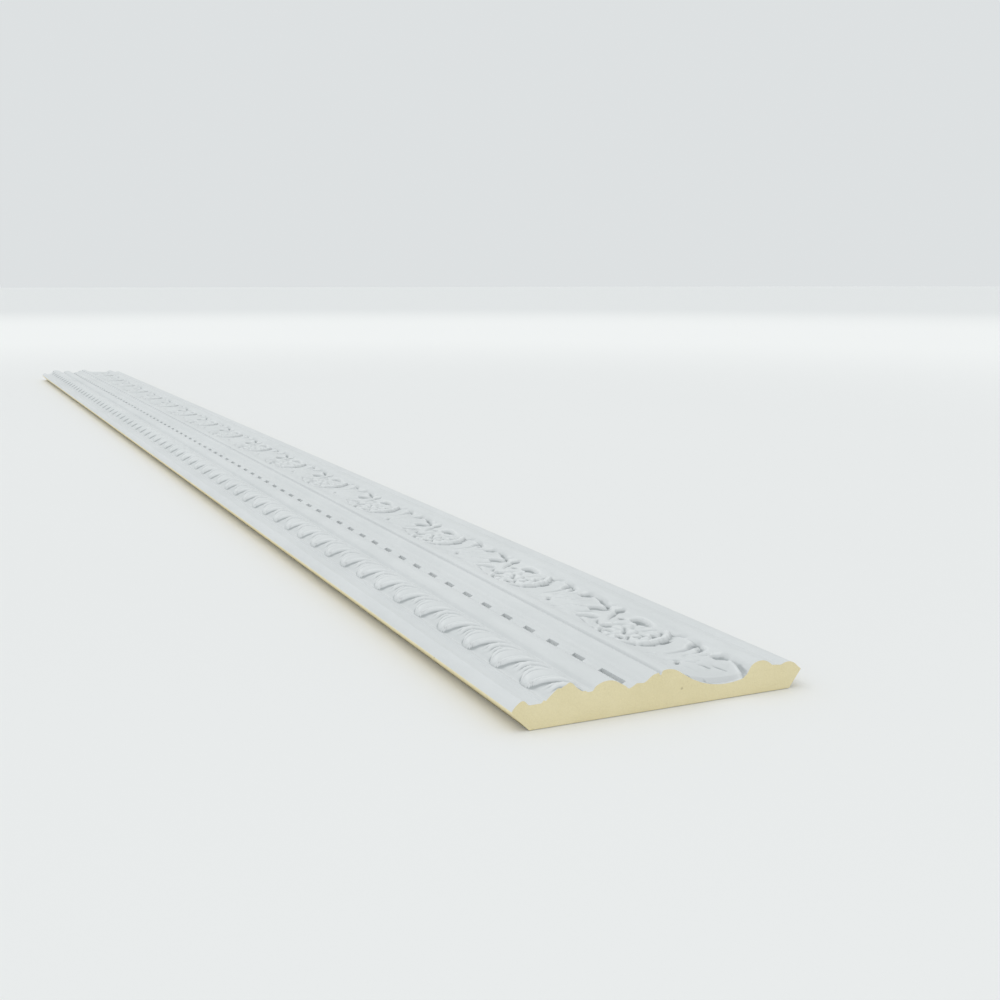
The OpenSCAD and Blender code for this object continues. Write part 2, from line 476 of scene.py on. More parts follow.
def shade(mesh: bpy.types.Mesh, angle: float) -> None:
    """Shade smooth, with edges sharper than `angle` degrees kept crisp."""
    mesh.polygons.foreach_set("use_smooth", [True] * len(mesh.polygons))
    mesh.set_sharp_from_angle(angle=math.radians(angle))
    mesh.update()


class RowNodes:
    """Geometry Nodes that repeat one carved unit along the moulding."""

    WELD = 2e-5

    def __init__(self) -> None:
        """Build the tree once, with named inputs."""
        tree = bpy.data.node_groups.new("carved_row", "GeometryNodeTree")
        for label, kind in (("Unit", "NodeSocketObject"),
                            ("Count", "NodeSocketInt"),
                            ("Pitch", "NodeSocketFloat"),
                            ("First", "NodeSocketFloat"),
                            ("Weld", "NodeSocketFloat"),
                            ("Finish", "NodeSocketMaterial")):
            tree.interface.new_socket(name=label, in_out="INPUT",
                                      socket_type=kind)
        tree.interface.new_socket(name="Geometry", in_out="OUTPUT",
                                  socket_type="NodeSocketGeometry")
        self.tree = tree
        given = tree.nodes.new("NodeGroupInput")
        result = tree.nodes.new("NodeGroupOutput")
        first = tree.nodes.new("ShaderNodeCombineXYZ")
        step = tree.nodes.new("ShaderNodeCombineXYZ")
        line = tree.nodes.new("GeometryNodeMeshLine")
        line.mode = "OFFSET"
        unit = tree.nodes.new("GeometryNodeObjectInfo")
        unit.transform_space = "ORIGINAL"
        copies = tree.nodes.new("GeometryNodeInstanceOnPoints")
        real = tree.nodes.new("GeometryNodeRealizeInstances")
        weld = tree.nodes.new("GeometryNodeMergeByDistance")
        dress = tree.nodes.new("GeometryNodeSetMaterial")
        for source, target in (
                (given.outputs["First"], first.inputs["X"]),
                (given.outputs["Pitch"], step.inputs["X"]),
                (given.outputs["Count"], line.inputs["Count"]),
                (first.outputs[0], line.inputs["Start Location"]),
                (step.outputs[0], line.inputs["Offset"]),
                (given.outputs["Unit"], unit.inputs["Object"]),
                (line.outputs["Mesh"], copies.inputs["Points"]),
                (unit.outputs["Geometry"], copies.inputs["Instance"]),
                (copies.outputs["Instances"], real.inputs["Geometry"]),
                (real.outputs["Geometry"], weld.inputs["Geometry"]),
                (given.outputs["Weld"], weld.inputs["Distance"]),
                (weld.outputs["Geometry"], dress.inputs["Geometry"]),
                (given.outputs["Finish"], dress.inputs["Material"]),
                (dress.outputs["Geometry"], result.inputs["Geometry"])):
            tree.links.new(source, target)

    def repeat(self, name: str, unit: bpy.types.Mesh, count: int,
               pitch: float, first: float,
               finish: bpy.types.Material) -> bpy.types.Object:
        """Repeat a unit and return the row as one plain mesh.

        Args:
            name: Name of the row.
            unit: Mesh of one repeat, running towards -X from X = 0.
            count: Number of repeats.
            pitch: Length of one repeat in metres.
            first: X of the first repeat's start, in metres.
            finish: Material of the row.

        Returns:
            The row, at the origin with no modifier.
        """
        source = new_piece(name + "_unit", unit)
        holder = new_piece(name, bpy.data.meshes.new(name + "_holder"))
        modifier = holder.modifiers.new("row", "NODES")
        modifier.node_group = self.tree
        values = {"Unit": source, "Count": count, "Pitch": -pitch,
                  "First": first, "Weld": self.WELD, "Finish": finish}
        for item in self.tree.interface.items_tree:
            if item.item_type == "SOCKET" and item.name in values:
                modifier[item.identifier] = values[item.name]
        bpy.context.view_layer.update()
        graph = bpy.context.evaluated_depsgraph_get()
        mesh = bpy.data.meshes.new_from_object(holder.evaluated_get(graph))
        holder.modifiers.clear()
        holder.data = mesh
        mesh.name = name
        bpy.data.objects.remove(source)
        return holder


@dataclass(kw_only=True)
class Band:
    """A strip of the face between two places across it."""

    section: Section
    name: str
    low: float
    high: float
    crease: float

    def samples(self, step: float) -> Array:
        """Places across the band, both borders included."""
        count = max(2, int(round((self.high - self.low) / step)) + 1)
        return np.linspace(self.low, self.high, count)

    def end_heights(self, run: float) -> tuple[Array, Array]:
        """Heights across the band where a square cut meets it.

        Args:
            run: Distance of the cut from the +X end.

        Returns:
            Places across and the height at each.
        """
        raise NotImplementedError

    def build(self, finish: bpy.types.Material) -> list[bpy.types.Object]:
        """Make the band's pieces, from the +X end.

        Args:
            finish: Material of the band.

        Returns:
            The pieces.
        """
        raise NotImplementedError


@dataclass(kw_only=True)
class PlainBand(Band):
    """A strip with no carving, swept from end to end."""

    crease: float = 60.0
    divisions: int = 24

    def end_heights(self, run: float) -> tuple[Array, Array]:
        """Heights across the band, the same at every cut."""
        across = self.samples(self.section.sample)
        return across, self.section.height(across)

    def build(self, finish: bpy.types.Material) -> list[bpy.types.Object]:
        """Sweep the bare section."""
        across, up = self.end_heights(0.0)
        run = np.linspace(0.0, self.section.length, self.divisions + 1)
        points = self.section.to_world(run[:, None], across[None, :],
                                       up[None, :])
        mesh = grid_mesh(self.name, points, len(run), len(across))
        mesh.materials.append(finish)
        shade(mesh, self.crease)
        return [new_piece(self.name, mesh)]


class Unit(NamedTuple):
    """One repeat of a row: its grid, its heights and how hollow it lies."""

    along: Array
    across: Array
    up: Array
    hollows: Array


@dataclass(kw_only=True)
class RepeatedBand(Band):
    """A strip made of one unit, repeated along the length."""

    rows: RowNodes
    pitch: float
    phase: float
    parts: int = 1
    snap: float = 1e-6

    def unit(self) -> Unit:
        """Heights of one repeat over its grid."""
        raise NotImplementedError

    def adjust(self, run: Array, across: Array, up: Array) -> Array:
        """Change the heights near the +X end; a row may keep its own.

        Args:
            run: Distances from the +X end.
            across: Distances from the leaf side's back corner.
            up: Heights of the repeated unit.

        Returns:
            The heights to use.
        """
        return up

    def end_heights(self, run: float) -> tuple[Array, Array]:
        """Heights across the band where a square cut meets it."""
        unit = self.unit()
        place = (run - self.phase) % self.pitch
        heights = np.array([np.interp(place, unit.along, column)
                            for column in unit.up.T])
        whole = np.full(len(unit.across), run)
        return unit.across, self.adjust(whole, unit.across, heights)

    def build(self, finish: bpy.types.Material) -> list[bpy.types.Object]:
        """Repeat the unit, cut the row square and split it in parts."""
        unit = self.unit()
        half = self.section.length / 2.0
        start = self.phase - self.pitch * math.ceil(self.phase / self.pitch)
        total = math.ceil((self.section.length - start) / self.pitch)
        share = math.ceil(total / self.parts)
        across = unit.across[None, :] - self.section.middle
        points = np.stack(np.broadcast_arrays(
            -unit.along[:, None], across, unit.up), axis=-1)
        pieces = []
        for part in range(self.parts):
            name = f"{self.name}_{part + 1}"
            mesh = grid_mesh(name + "_unit_mesh", points.reshape(-1, 3) * MM,
                             len(unit.along), len(unit.across))
            note_hollows(mesh, unit.hollows)
            count = min(share, total - part * share)
            first = half - start - part * share * self.pitch
            row = self.rows.repeat(name, mesh, count, self.pitch * MM,
                                   first * MM, finish)
            slice_mesh(row.data, ((half * MM, 1.0), (-half * MM, -1.0)),
                       self.snap, clear=True)
            if part == 0:
                self.fit_end(row.data)
            shade(row.data, self.crease)
            pieces.append(row)
        return pieces

    def fit_end(self, mesh: bpy.types.Mesh) -> None:
        """Apply `adjust` to the vertices of the row at the +X end."""
        flat = np.empty(len(mesh.vertices) * 3)
        mesh.vertices.foreach_get("co", flat)
        place = flat.reshape(-1, 3)
        run = self.section.length / 2.0 - place[:, 0] / MM
        across = place[:, 1] / MM + self.section.middle
        place[:, 2] = self.adjust(run, across, place[:, 2] / MM) * MM
        mesh.vertices.foreach_set("co", place.reshape(-1))
        mesh.update()


@dataclass(kw_only=True)
class CarvedBand(RepeatedBand):
    """A repeated strip whose unit is carved stroke by stroke."""

    step: float
    crease: float = 75.0
    # Strength of the primer's painted shade and painted highlight in this row.
    painted_light_strength: float = 1.0
    border: float = 1.6
    # Where that painted shade and highlight fade in from the row's edges.
    painted_light_border: Point = (0.5, 3.0)

    def carve(self, carving: Carving) -> None:
        """Cut this band's own ornament into one repeat."""
        raise NotImplementedError

    def unit(self) -> Unit:
        """Heights of one repeat, carved and eased to bare at its borders."""
        count = int(round(self.pitch / self.step))
        along = np.linspace(0.0, self.pitch, count + 1)
        across = self.samples(self.step)
        carving = Carving(along, across, self.pitch, self.step,
                          self.section.height(across))
        self.carve(carving)
        carving.settle(self.border)
        # How hollow each place lies, scaled for the primer's painted shade and
        # painted highlight; only what changes along the row is kept.
        hollows = carving.hollows() * self.painted_light_strength
        hollows -= hollows.mean(axis=0)
        edge = np.minimum(across - self.low, self.high - across)
        return Unit(along, across, carving.up,
                    hollows * smoothstep(edge, *self.painted_light_border))


@dataclass(kw_only=True)
class LeafRow(CarvedBand):
    """Overlapping waterleaves on the first roll.

    `near_edge` and `far_edge` are the two sides of a tongue, as pairs of
    across and along. `folds` and `dart` are heights over the distance along.
    """

    name: str = "leaf_row"
    low: float = 6.4
    high: float = 31.6
    pitch: float = 36.7
    phase: float = 9.3
    step: float = 0.55
    parts: int = 3
    # Stronger painted shade and highlight on the leaves.
    painted_light_strength: float = 1.6
    near_edge: tuple[Point, ...] = (
        (8.6, 15.5), (9.0, 12.5), (9.6, 9.6), (10.6, 7.2), (11.7, 5.4),
        (14.5, 2.6), (18.0, -0.4), (21.0, -2.5), (25.0, -4.4), (31.6, -6.5))
    far_edge: tuple[Point, ...] = (
        (8.6, 16.0), (9.0, 18.2), (9.6, 20.2), (10.6, 21.8), (11.7, 22.8),
        (14.5, 23.6), (18.0, 22.8), (21.0, 21.4), (25.0, 19.6), (31.6, 17.2))
    folds: tuple[Point, ...] = (
        (0.0, -0.5), (0.7, 1.2), (1.4, 2.5), (2.2, 2.7), (3.2, 1.5),
        (4.1, 1.2), (5.1, 2.2), (5.9, 2.3), (6.9, 1.5), (9.0, 1.9),
        (12.0, 2.5), (15.0, 2.6), (17.5, 1.9), (18.8, 1.2), (20.0, 2.1),
        (21.0, 2.2), (22.0, 0.9), (23.2, -0.3))
    dart: tuple[Point, ...] = (
        (0.0, 2.7), (0.7, 2.2), (1.7, 0.5), (2.5, 0.2), (3.3, 1.5),
        (3.9, 1.4), (4.8, -0.1), (5.9, 0.3), (6.8, -0.9))
    dart_start: Point = (11.0, 17.0)
    dart_stretch: Point = (1.0, 1.4)
    tip_start: Point = (8.4, 10.0)
    ground_drop: float = 2.3
    drop_start: Point = (7.5, 9.0)
    far_fade: Point = (0.5, 3.0)
    knobs: tuple[Swell, ...] = (Swell((21.6, 18.4), (2.2, 1.8), 0.0, 0.7),
                                Swell((27.8, 18.4), (2.2, 1.8), 0.0, 0.7))
    softness: float = 0.2

    def carve(self, carving: Carving) -> None:
        """Raise the tongues and the darts between them."""
        across = carving.across
        near, far = follow(across, self.near_edge), follow(across, self.far_edge)
        place = (carving.along - near) % self.pitch
        width = far - near
        tongue = follow(place * self.folds[-1][0] / width, self.folds)
        beside = np.abs(place - width - (self.pitch - width) / 2.0)
        reach = (self.pitch - width) / (2.0 * self.dart[-1][0])
        point = follow(beside / np.clip(reach, *self.dart_stretch), self.dart)
        point = point * smoothstep(across, *self.dart_start)
        relief = np.where(place < width, tongue, point)
        share = smoothstep(across, *self.tip_start)
        fade = smoothstep(self.high - across, *self.far_fade)
        drop = self.ground_drop * smoothstep(across, *self.drop_start)
        carving.up += (relief * share - drop) * fade
        carving.apply(self.knobs)
        carving.soften(self.softness)


@dataclass(frozen=True)
class Rosette:
    """A flower in a ring, at the start of each repeat of the cove.

    A pair holds where something starts and where it is whole, unless its
    name says otherwise. Angles without a unit are in radians.
    """

    middle: float = 103.5
    petals: int = 6
    petal_turn_degrees: float = 39.4
    radius: float = 22.3
    ring_width: float = 4.0
    ring_top: float = 16.1
    ring_round: float = 0.9
    notch_depth: float = 0.9
    notch_width: float = 0.7
    ring_dip: float = 2.4
    ring_dip_angle: float = 1.1
    ring_dip_spread: float = 0.75
    moat_depth: float = 0.8
    moat_outside: float = 1.4
    moat_width: float = 2.6
    moat_start: Point = (-12.0, 6.0)
    bowl: float = 12.8
    bowl_inset: float = 0.6
    bowl_lift: float = 1.9
    far_start: Point = (-2.0, 12.0)
    far_lean: float = 0.5
    petal_inset: float = 1.0
    petal_notch: float = 0.14
    petal_rise: float = 3.2
    petal_lift: float = 1.4
    cleft_depth: float = 2.2
    cleft_width: float = 1.0
    cleft_start: Point = (4.0, 9.0)
    rib_depth: float = 0.7
    rib_width: float = 0.9
    rib_start: Point = (7.0, 12.0)
    dish_depth: float = 0.6
    dish_radius: float = 8.0
    dish_width: float = 3.0
    button_radius: float = 4.2
    button_base: float = 14.2
    button_rise: float = 2.3
    collar_depth: float = 0.9
    collar_radius: float = 4.6
    collar_width: float = 0.8
    pocket_depth: float = 3.6
    pocket_angle: float = 0.85
    pocket_spread: float = 0.5
    pocket_radius: float = 17.2
    pocket_width: float = 1.5
    cuts: tuple[Stroke, ...] = (
        Gouge((-6.3, 93.4), (4.2, 2.2), 0.0, 2.8),
        Gouge((-11.0, 102.8), (2.2, 4.2), 0.0, 2.8),
        Gouge((-12.6, 111.4), (3.6, 2.4), 40.0, 2.8),
        Gouge((8.0, 93.6), (5.0, 2.0), 0.0, 2.8),
        Gouge((17.5, 97.5), (2.2, 4.0), 20.0, 2.8),
        Gouge((-17.6, 90.4), (5.6, 1.7), 121.0, 2.8),
        Gouge((-23.6, 101.0), (5.6, 1.7), 96.0, 2.8),
        Gouge((-22.0, 113.2), (5.2, 1.7), 67.0, 2.8),
        Groove(((-3.2, 97.3), (2.5, 101.0), (10.9, 106.0)), 2.2, 2.4))
    far_cut: Gouge = Gouge((16.5, 120.8), (12.0, 4.4), 8.0, 4.2)

    def carve(self, carving: Carving) -> None:
        """Raise the ring, the petals and the button, then cut between them."""
        du, dv = carving.local((0.0, self.middle))
        away, angle = np.hypot(du, dv), np.arctan2(dv, du)
        far = smoothstep(du + self.far_lean * dv, *self.far_start)
        near = smoothstep(-du, *self.moat_start)
        carving.up -= self.moat_depth * near * hump(
            away - self.radius, self.moat_outside, self.moat_width)
        carving.up = np.where(away < self.radius - self.bowl_inset,
                              self.bowl + self.bowl_lift * far, carving.up)
        self.ring(carving, away, angle)
        self.flower(carving, away, angle, far)
        carving.apply(self.cuts)
        facing = hump(angle, self.pocket_angle, self.pocket_spread, 4)
        carving.up -= self.pocket_depth * facing * hump(
            away, self.pocket_radius, self.pocket_width)
        self.far_cut.cut(carving)

    def ring(self, carving: Carving, away: Array, angle: Array) -> None:
        """Raise the ring, with a notch in line with each petal.

        Args:
            carving: The carving.
            away: Distances from the rosette's middle.
            angle: Angles about it.
        """
        half = self.ring_width / 2.0
        mid = self.radius - half
        crest = self.ring_top - self.ring_round * (
            np.abs(away - mid) / half) ** 3
        turns = angle * self.petals / math.pi
        notch = np.abs(turns - np.round(turns)) * math.pi / self.petals
        crest -= self.notch_depth * hump(notch * away, 0.0, self.notch_width)
        crest -= self.ring_dip * hump(angle, self.ring_dip_angle,
                                      self.ring_dip_spread, 4)
        carving.up = np.where(np.abs(away - mid) < half,
                              np.maximum(carving.up, crest), carving.up)

    def flower(self, carving: Carving, away: Array, angle: Array,
               far: Array) -> None:
        """Raise the petals and the button inside the ring.

        Args:
            carving: The carving.
            away: Distances from the rosette's middle.
            angle: Angles about it.
            far: 1 on the side where the bowl is shallow, 0 on the other.
        """
        turn = angle - math.radians(self.petal_turn_degrees)
        cleft = np.abs((turn * self.petals / (2 * math.pi)) % 1.0 - 0.5)
        edge = (self.radius - self.ring_width - self.petal_inset) * (
            1.0 - self.petal_notch * (2.0 * cleft) ** 4)
        gap = (0.5 - cleft) * 2 * math.pi / self.petals * away
        rib = cleft * 2 * math.pi / self.petals * away
        lift = self.petal_lift * far
        petal = self.bowl + lift + (self.petal_rise - lift) * np.sqrt(
            np.clip(1.0 - (away / edge) ** 5, 0.0, 1.0))
        petal -= (self.cleft_depth * hump(gap, 0.0, self.cleft_width)
                  * smoothstep(away, *self.cleft_start))
        petal -= (self.rib_depth * hump(rib, 0.0, self.rib_width)
                  * smoothstep(away, *self.rib_start))
        petal -= self.dish_depth * hump(away, self.dish_radius,
                                        self.dish_width)
        carving.up = np.where(away < edge, np.maximum(carving.up, petal),
                              carving.up)
        button = self.button_base + self.button_rise * np.sqrt(
            np.clip(1.0 - (away / self.button_radius) ** 2, 0, 1))
        carving.up = np.where(away < self.button_radius, button, carving.up)
        carving.up -= self.collar_depth * hump(away, self.collar_radius,
                                               self.collar_width)


@dataclass(kw_only=True)
class CoveBand(CarvedBand):
    """Rosettes and acanthus leaves that fill the cove."""

    name: str = "cove_ornament"
    low: float = 80.0
    high: float = 128.5
    pitch: float = 147.2
    phase: float = 81.0
    step: float = 0.72
    parts: int = 3
    # Painted shade and highlight a little stronger in the cove.
    painted_light_strength: float = 1.2
    rosette: Rosette = Rosette()
    bare_end: float = 2.6
    end_slope: float = 15.0
    end_share: float = 0.22
    softness: float = 0.3
    pillow: tuple[Point, ...] = (
        (80.0, 19.4), (84.0, 17.7), (88.0, 16.2), (93.0, 15.0),
        (103.0, 14.2), (113.0, 14.0), (121.0, 14.2), (126.0, 15.0),
        (128.5, 16.0))
    leaf: tuple[Stroke, ...] = (
        Swell((80.0, 106.0), (34.0, 17.0), 0.0, 1.7),
        Lobe((66.0, 111.0), (12.0, 9.0), 60.0, 0.6),
        Lobe((80.0, 114.0), (13.0, 7.0), 56.0, 0.7),
        Lobe((93.0, 113.0), (13.0, 6.5), 54.0, 0.7),
        Lobe((70.0, 95.0), (14.0, 5.5), -24.0, 0.6),
        Lobe((86.0, 100.0), (15.0, 5.0), -16.0, 0.5),
        Lobe((100.0, 96.0), (12.0, 5.0), -20.0, 0.6),
        Groove(((56.0, 98.0), (54.2, 103.0), (53.0, 109.0), (54.0, 117.0),
                (59.0, 122.5), (68.0, 125.2), (80.0, 126.4), (92.0, 125.6)),
               2.8, 3.0),
        Gouge((56.0, 115.0), (6.0, 7.5), 20.0, 2.6),
        Gouge((86.0, 95.0), (2.8, 1.4), 35.0, 2.4),
        Gouge((86.5, 122.0), (7.0, 5.0), 24.0, 2.6),
        Groove(((67.0, 84.5), (72.0, 86.5)), 1.8, 1.1),
        Groove(((76.0, 83.5), (84.0, 87.0)), 1.8, 1.1))
    folds: tuple[Stroke, ...] = (
        Gouge((43.5, 99.5), (6.5, 6.8), 8.0, 4.6),
        Swell((34.0, 92.0), (14.0, 6.0), 20.0, 1.0),
        Swell((33.0, 108.0), (12.0, 7.0), 24.0, 1.1),
        Swell((52.0, 91.0), (10.0, 5.0), 0.0, 1.0),
        Groove(((97.0, 105.0), (98.5, 113.5), (102.0, 120.0),
                (108.5, 125.5)), 2.2, 2.6),
        Gouge((104.0, 121.5), (4.0, 2.8), 50.0, 1.6),
        Groove(((105.0, 99.0), (106.5, 108.5), (110.0, 118.0),
                (116.5, 127.0)), 2.6, 3.2),
        Gouge((112.5, 122.5), (5.0, 3.4), 50.0, 2.0),
        Groove(((92.0, 112.0), (93.0, 117.0), (96.0, 122.0)), 2.0, 1.6),
        Groove(((24.0, 96.0), (31.0, 99.0), (37.0, 103.0)), 2.0, 1.5),
        Groove(((23.0, 88.0), (33.0, 90.5), (42.0, 92.5)), 2.0, 1.3),
        Gouge((30.4, 115.3), (2.8, 2.0), 30.0, 3.0),
        Gouge((45.0, 123.0), (5.0, 3.4), 30.0, 3.0),
        Groove(((28.0, 105.0), (34.0, 110.0), (41.0, 117.0),
                (47.0, 124.0)), 2.0, 1.6),
        Swell((43.0, 113.0), (9.0, 5.0), 50.0, 1.0),
        Gouge((44.5, 100.2), (4.0, 5.8), 8.0, 1.6),
        Groove(((-9.0, 122.6), (-15.9, 125.6), (-22.0, 127.0)), 2.2, 2.6),
        Groove(((-24.0, 126.6), (-33.0, 126.4), (-40.0, 124.4),
                (-45.0, 121.0)), 2.0, 2.4),
        Groove(((76.0, 126.4), (66.0, 122.6), (60.0, 124.6),
                (55.0, 126.6)), 2.0, 2.4))
    vein_starts: tuple[Triple, ...] = (
        (85.5, 99.2, 6.6), (91.0, 95.0, 5.0), (80.0, 103.0, 8.0),
        (78.0, 110.5, 9.0), (69.5, 99.0, 7.5), (63.5, 105.0, 7.0),
        (95.0, 104.0, 7.5), (101.0, 97.0, 6.0), (70.5, 88.5, 6.0),
        (108.0, 90.0, 6.0), (59.0, 90.0, 5.0), (25.0, 117.0, 6.0))
    vein_lean: Point = (-0.58, 0.82)
    vein_width: float = 1.7
    vein_depth: float = 1.3

    def veins(self) -> list[Groove]:
        """Short straight grooves, all leaning the same way."""
        lean_along, lean_across = self.vein_lean
        return [Groove(((along, across), (along + length * lean_along,
                                          across + length * lean_across)),
                       self.vein_width, self.vein_depth)
                for along, across, length in self.vein_starts]

    def carve(self, carving: Carving) -> None:
        """Fill the cove, then cut the leaf, the folds and the rosette."""
        carving.up = np.maximum(carving.ground,
                                follow(carving.across, self.pillow))
        carving.apply(self.leaf)
        carving.apply(self.folds)
        carving.apply(self.veins())
        self.rosette.carve(carving)
        carving.soften(self.softness)

    def adjust(self, run: Array, across: Array, up: Array) -> Array:
        """Leave the cove bare at the cut and let the ornament rise gently."""
        bare = self.section.height(across)
        past = run - self.bare_end
        share = self.end_share + (1.0 - self.end_share) * smoothstep(
            past, -self.end_slope / 4.0, self.end_slope)
        return np.where(past < 0.0, bare, bare + (up - bare) * share)


@dataclass(kw_only=True)
class SlotRow(RepeatedBand):
    """The valley beside the second roll, with the slots in its bottom."""

    name: str = "slot_row"
    low: float = 50.6
    high: float = 61.6
    pitch: float = 29.8
    phase: float = 10.9
    crease: float = 40.0
    first: float = 25.8
    first_extra: float = 12.0
    slot_length: float = 12.0
    slot_low: float = 54.8
    slot_high: float = 57.4
    bottom: float = 10.8
    wall_run: float = 0.12
    low_places: int = 12
    high_places: int = 14
    fine_snap: float = 1e-7

    @property
    def first_end(self) -> float:
        """Where the longer first slot ends, measured from the +X end."""
        return self.first - self.slot_length / 2.0 - self.first_extra

    def sink(self, outside: Array, across: Array, up: Array) -> Array:
        """Sink the slot's floor inside its outline.

        Args:
            outside: How far past the slot's end each place is.
            across: Distances from the leaf side's back corner.
            up: Heights without the slot.

        Returns:
            The heights with the slot.
        """
        over = np.minimum(across - self.slot_low, self.slot_high - across)
        inside = (over > self.wall_run * 0.5) & (outside < 0.0)
        return np.where(inside, self.bottom, up)

    def unit(self) -> Unit:
        """Heights of one repeat, with the slot in its middle."""
        across = np.concatenate([
            np.linspace(self.low, self.slot_low, self.low_places),
            [self.slot_low + self.wall_run, self.slot_high - self.wall_run],
            np.linspace(self.slot_high, self.high, self.high_places)])
        half = self.slot_length / 2.0
        middle = self.pitch / 2.0
        ends = np.array([-half - self.wall_run, -half, half,
                         half + self.wall_run])
        along = np.concatenate([[0.0], middle + ends, [self.pitch]])
        up = np.tile(self.section.height(across), (len(along), 1))
        outside = np.abs(along - middle) - half - self.wall_run * 0.5
        return Unit(along, across,
                    self.sink(outside[:, None], across[None, :], up),
                    np.zeros(up.shape))

    def adjust(self, run: Array, across: Array, up: Array) -> Array:
        """Lengthen the first slot towards the +X end."""
        whole = np.where(run < self.first_end, self.section.height(across), up)
        outside = np.maximum(self.first_end - run, run - self.first)
        return self.sink(outside, across, whole)

    def fit_end(self, mesh: bpy.types.Mesh) -> None:
        """Add the places the longer first slot needs, then sink them."""
        half = self.section.length / 2.0
        slice_mesh(mesh, [((half - run) * MM, 1.0) for run in
                          (self.first_end, self.first_end - self.wall_run)],
                   self.fine_snap, clear=False)
        super().fit_end(mesh)


@dataclass
class FoamCore:
    """The bare foam: both cut ends, both bevels and the back."""

    section: Section
    bands: Sequence[Band]
    divisions: int = 40
    weld: float = 1e-6
    crease: float = 20.0

    def end_outline(self, run: float) -> list[Point]:
        """Outline of a cut end, starting at the leaf side's back corner."""
        section = self.section
        points: list[Point] = [(0.0, 0.0), (section.low, section.lip_height)]
        for index, band in enumerate(self.bands):
            across, up = band.end_heights(run)
            shared = 1 if index else 0
            points += list(zip(across[shared:], up[shared:]))
        points.append((section.back_width, 0.0))
        return points

    def vertex(self, work: bmesh.types.BMesh, x: float,
               place: Point) -> bmesh.types.BMVert:
        """Add a vertex at an X in mm and a place across and up."""
        across, up = place
        return work.verts.new((x * MM, (across - self.section.middle) * MM,
                               up * MM))

    def add_end(self, work: bmesh.types.BMesh, x: float, run: float) -> None:
        """Close one cut end with a triangulated cap.

        Args:
            work: The mesh being built.
            x: X of the cut in mm.
            run: Its distance from the +X end.
        """
        ring = [self.vertex(work, x, place) for place in self.end_outline(run)]
        cap = work.faces.new(ring if x < 0 else ring[::-1])
        cap.normal_update()
        if cap.normal.x * x < 0:
            cap.normal_flip()
        bmesh.ops.triangulate(work, faces=[cap], ngon_method="EAR_CLIP")

    def add_sides(self, work: bmesh.types.BMesh) -> None:
        """Add the thin edge of the lip, both bevels and the back."""
        section = self.section
        half = section.length / 2.0
        corners = [section.skin_edge, (section.low, section.lip_height),
                   (0.0, 0.0), (section.back_width, 0.0),
                   (section.high, section.lip_height)]
        places = np.linspace(half, -half, self.divisions + 1)
        lines = [[self.vertex(work, x, corner) for x in places]
                 for corner in corners]
        for first, second in zip(lines, lines[1:]):
            for i in range(self.divisions):
                work.faces.new((first[i], second[i], second[i + 1],
                                first[i + 1]))

    def build(self, name: str,
              finish: bpy.types.Material) -> bpy.types.Object:
        """Make the foam surfaces as one piece.

        Args:
            name: Name of the piece.
            finish: Material of the foam.

        Returns:
            The piece, its faces turned outwards.
        """
        half = self.section.length / 2.0
        work = bmesh.new()
        self.add_end(work, half, 0.0)
        self.add_end(work, -half, self.section.length)
        self.add_sides(work)
        bmesh.ops.remove_doubles(work, verts=work.verts[:], dist=self.weld)
        for face in work.faces:
            face.normal_update()
            is_end = abs(face.normal.x) > 0.5
            centre = face.calc_center_median()
            inwards = face.normal.x * centre.x < 0 if is_end else face.normal.z > 0
            if inwards:
                face.normal_flip()
        mesh = bpy.data.meshes.new(name)
        work.to_mesh(mesh)
        work.free()
        mesh.materials.append(finish)
        shade(mesh, self.crease)
        return new_piece(name, mesh)


class Wire:
    """A shader socket that can be used in Python expressions."""

    def __init__(self, shop: "Shop", socket: bpy.types.NodeSocket) -> None:
        """Wrap a socket.

        Args:
            shop: The node tree being wired.
            socket: The output to wrap.
        """
        self.shop, self.socket = shop, socket

    def _math(self, kind: str, *values: object) -> "Wire":
        """Add a Math node and return its result."""
        return self.shop.add("ShaderNodeMath", {"operation": kind},
                             dict(enumerate(values)))

    def __add__(self, other: object) -> "Wire":
        """Sum."""
        return self._math("ADD", self, other)

    def __radd__(self, other: object) -> "Wire":
        """Sum, with the value first."""
        return self._math("ADD", other, self)

    def __sub__(self, other: object) -> "Wire":
        """Difference."""
        return self._math("SUBTRACT", self, other)

    def __rsub__(self, other: object) -> "Wire":
        """Difference, with the value first."""
        return self._math("SUBTRACT", other, self)

    def __mul__(self, other: object) -> "Wire":
        """Product."""
        return self._math("MULTIPLY", self, other)

    def __rmul__(self, other: object) -> "Wire":
        """Product, with the value first."""
        return self._math("MULTIPLY", other, self)

    def size(self) -> "Wire":
        """The value without its sign."""
        return self._math("ABSOLUTE", self)

    def ramp(self, low: float, high: float) -> "Wire":
        """Smooth step between two limits."""
        return self.shop.add("ShaderNodeMapRange",
                             {"interpolation_type": "SMOOTHSTEP"},
                             {"Value": self, "From Min": low, "From Max": high})


